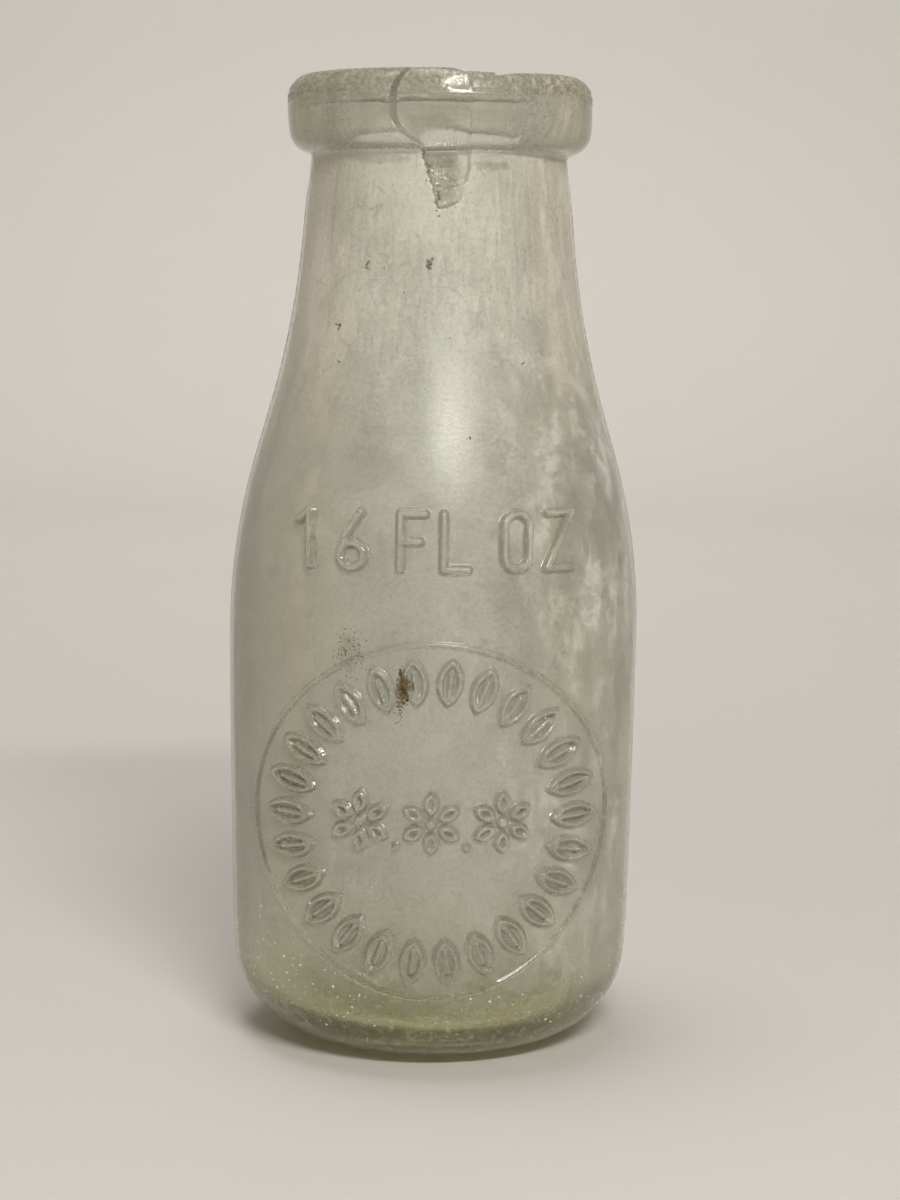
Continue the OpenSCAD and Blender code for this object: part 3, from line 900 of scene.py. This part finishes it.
    # Colour
    clear = g.mix(heel, CLEAR_TINT, HEEL_TINT)
    dusty = g.mix(flank, BODY_DUST, FLANK_DUST)
    dusty = g.mix(neck, dusty, g.mix(flank, NECK_DUST, NECK_FLANK_DUST))
    dusty = g.mix(g.times(patches, right), dusty, PATCH_DUST)
    dusty = g.mix(g.times(left, 0.8), dusty, LEFT_DUST)
    colour = g.mix(g.step(film, 0.05, 0.5), clear, dusty)
    amid = g.times(g.step(flank, 0, 1, 1.0, 0.0), g.step(g.z, 0.100, 0.145, 1.0, 0.0))
    sand = g.times(g.step(g.noise(1500, 3.0, 0.7), 0.42, 0.62), g.step(amid, 0, 1, 0.22, 0.32))
    sand = g.add(sand, g.times(mottle, 0.10))
    sand = g.add(sand, g.times(g.times(streaks, flank), 0.10))
    colour = g.mix(g.times(sand, outside), colour, SAND_COLOUR)
    colour = g.mix(g.times(rim, 0.30), colour, RIM_COLOUR)
    # Dirt and painted shade share one dark colour
    colour = g.mix(dirt_and_shade, colour, DIRT_AND_SHADE_COLOUR)
    colour = g.mix(rust, colour, RUST_COLOUR)
    facing = g.node("ShaderNodeLayerWeight", Blend=0.5).outputs["Facing"]
    cover = g.most(g.add(film, g.times(g.math("POWER", facing, 5.0), 0.20)), marks)
    cover = g.math("MINIMUM", cover, 0.95)

    # Gloss: a dull skin, and bare glass at the lip, the break, the marks, the inside and the foot
    skin = g.add(g.add(0.285, g.times(flecks, 0.03)), g.times(film, 0.12))
    skin = g.mix(g.step(facing, 0.78, 0.86), skin, 0.12, "FLOAT")
    bare = g.most(g.most(lip, fresh), g.step(g.z, *FOOT_ZONE, 1.0, 0.0))
    bare = g.most(bare, g.most(inner, g.step(crevice_dirt_and_shade, 0.05, 0.5)))
    dull = g.mix(bare, skin, g.add(0.07, g.times(film, 0.2)), "FLOAT")
    dull = g.add(dull, g.times(rim, 0.16))
    facet_x = g.times(g.step(g.x, -0.0005, 0.0015), g.step(g.x, 0.0045, 0.0065, 1.0, 0.0))
    facet_z = g.times(g.step(g.z, 0.1755, 0.1775), g.step(g.y, *FRONT_HALF, 1.0, 0.0))
    roughness = g.times(dull, g.step(g.times(facet_x, facet_z), 0, 1, 1.0, 0.25))
    pits = g.bump(g.noise(1700, 2.0, 0.6), g.step(rim, 0, 1, 0.16, 0.7), 0.00016)
    ripples = g.bump(g.noise(1.0, 3.0, 0.5, g.stretched(90, 90, 26)), 0.10, 0.0006, pits)
    absorb = g.node("ShaderNodeVolumeAbsorption", Color=GLASS_ABSORPTION, Density=GLASS_DENSITY)
    g.tree.links.new(absorb.outputs[0], g.output.inputs["Volume"])
    return g.set(Base_Color=colour, Roughness=roughness, IOR=GLASS_IOR, Normal=ripples,
                 Transmission_Weight=g.math("SUBTRACT", 1.0, cover))


def grit_material(name, dark, light, scale, rough):
    """Dull mineral matter, speckled between two colours."""
    g = Graph(name)
    colour = g.mix(g.step(g.noise(scale, 4.0, 0.65), 0.35, 0.65), dark, light)
    bumps = g.bump(g.noise(scale * 4, 3.0, 0.6), 0.5, 0.0001)
    return g.set(Base_Color=colour, Roughness=g.step(g.noise(scale * 2), 0.3, 0.7, rough - 0.15, rough),
                 Normal=bumps)


def stage_material():
    """Plain pale matt paint, very slightly uneven."""
    g = Graph("pale_stage")
    tone = g.mix(g.noise(3.0, 3.0, 0.5), (0.70, 0.685, 0.66, 1), (0.73, 0.715, 0.69, 1))
    return g.set(Base_Color=tone, Roughness=0.75)


# ---------------------------------------------------------------------------------------------
# Stage, lights and camera, in metres
# ---------------------------------------------------------------------------------------------
LAMP_COLOUR = (1.0, 0.975, 0.92)
ROOM_COLOUR = (0.62, 0.60, 0.56, 1)
ROOM_STRENGTH = 0.26


def stage():
    """A plain floor that turns up all round into a pale wall."""
    floor_r, bend_r, wall_h, steps = 1.15, 0.35, 1.7, 96
    profile = [(r, 0.0) for r in (0.04, 0.25, 0.6, floor_r)]
    profile += [(floor_r + bend_r * math.sin(a), bend_r - bend_r * math.cos(a))
                for a in np.linspace(0.15, math.pi / 2, 10)]
    profile += [(floor_r + bend_r, wall_h)]
    turns = [TAU * i / steps for i in range(steps)]
    verts = [(r * math.sin(a), r * math.cos(a), z) for r, z in profile for a in turns]
    faces = [tuple(reversed(range(steps)))]
    for row in range(0, steps * (len(profile) - 1), steps):
        for i in range(steps):
            nxt = (i + 1) % steps
            faces.append((row + i, row + nxt, row + steps + nxt, row + steps + i))
    floor = placed("pale_floor", np.array(verts) / MM, faces)
    floor.data.materials.append(stage_material())


def area_light(name, place, target, size, energy, spread):
    """A soft oval lamp at a place, aimed at a target."""
    data = bpy.data.lights.new(name, "AREA")
    data.shape, data.energy, data.color = "ELLIPSE", energy, LAMP_COLOUR
    data.size, data.size_y = size
    data.spread = math.radians(spread)
    light = bpy.data.objects.new(name, data)
    aim = (Vector(target) - Vector(place)).to_track_quat("-Z", "Y")
    light.matrix_world = Matrix.Translation(place) @ aim.to_matrix().to_4x4()
    light.visible_camera = False
    bpy.context.scene.collection.objects.link(light)


def lights():
    """A lamp above the camera, one on the wall behind, one overhead, and a dim even room."""
    middle = (0, 0, 0.1)
    area_light("key", (0.22, -0.95, 0.82), middle, (0.56, 0.09), 9.6, 180)
    area_light("backdrop_wash", (0, 0.45, 1.45), (0, 1.4, 0.2), (0.6, 0.4), 3.2, 100)
    area_light("overhead", (-0.15, 0.1, 1.6), (0, 0.2, 0), (0.7, 0.7), 2.2, 100)
    world = bpy.data.worlds.new("room")
    bpy.context.scene.world = world
    world.use_nodes = True
    background = world.node_tree.nodes["Background"]
    background.inputs["Color"].default_value = ROOM_COLOUR
    background.inputs["Strength"].default_value = ROOM_STRENGTH
    bpy.context.scene.view_settings.view_transform = "Standard"


def camera():
    """Just above the shoulder's height, looking slightly down, with a slight roll."""
    distance, height, frame_px, focal_px, sensor_h = 0.4927, 0.1443, 1200, 2600, 24.0
    pitch, roll, pan = math.radians(7.1), math.radians(0.77), math.radians(0.36)
    level = math.cos(pitch)
    forward = np.array([math.sin(pan) * level, math.cos(pan) * level, -math.sin(pitch)])
    right = np.array([math.cos(pan), -math.sin(pan), 0.0])
    up = np.cross(right, forward)
    c, s = math.cos(roll), math.sin(roll)
    right, up = c * right + s * up, c * up - s * right
    data = bpy.data.cameras.new("camera")
    data.sensor_fit, data.sensor_height = "VERTICAL", sensor_h
    data.lens = focal_px / frame_px * sensor_h
    view = bpy.data.objects.new("camera", data)
    turn = Matrix((right, up, -forward)).transposed().to_4x4()
    view.matrix_world = Matrix.Translation((0, -distance, height)) @ turn
    bpy.context.scene.collection.objects.link(view)
    bpy.context.scene.camera = view


# ---------------------------------------------------------------------------------------------
# Assembly
# ---------------------------------------------------------------------------------------------
camera()
stage()
lights()

bottle = glass_bottle()
bottle.data.materials.append(glass_material())
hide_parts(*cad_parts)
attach(bottle, "root")

debris = [
    (rust_flakes(), grit_material("rust", (0.075, 0.048, 0.014, 1), (0.24, 0.165, 0.06, 1), 900, 0.85)),
    (dark_specks(), grit_material("specks", (0.11, 0.10, 0.07, 1), (0.32, 0.29, 0.22, 1), 900, 0.8)),
    (heel_grit(), grit_material("grit", (0.78, 0.77, 0.72, 1), (0.96, 0.95, 0.91, 1), 700, 0.6)),
]
for piece, skin in debris:
    piece.data.materials.append(skin)
    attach(piece, "root")
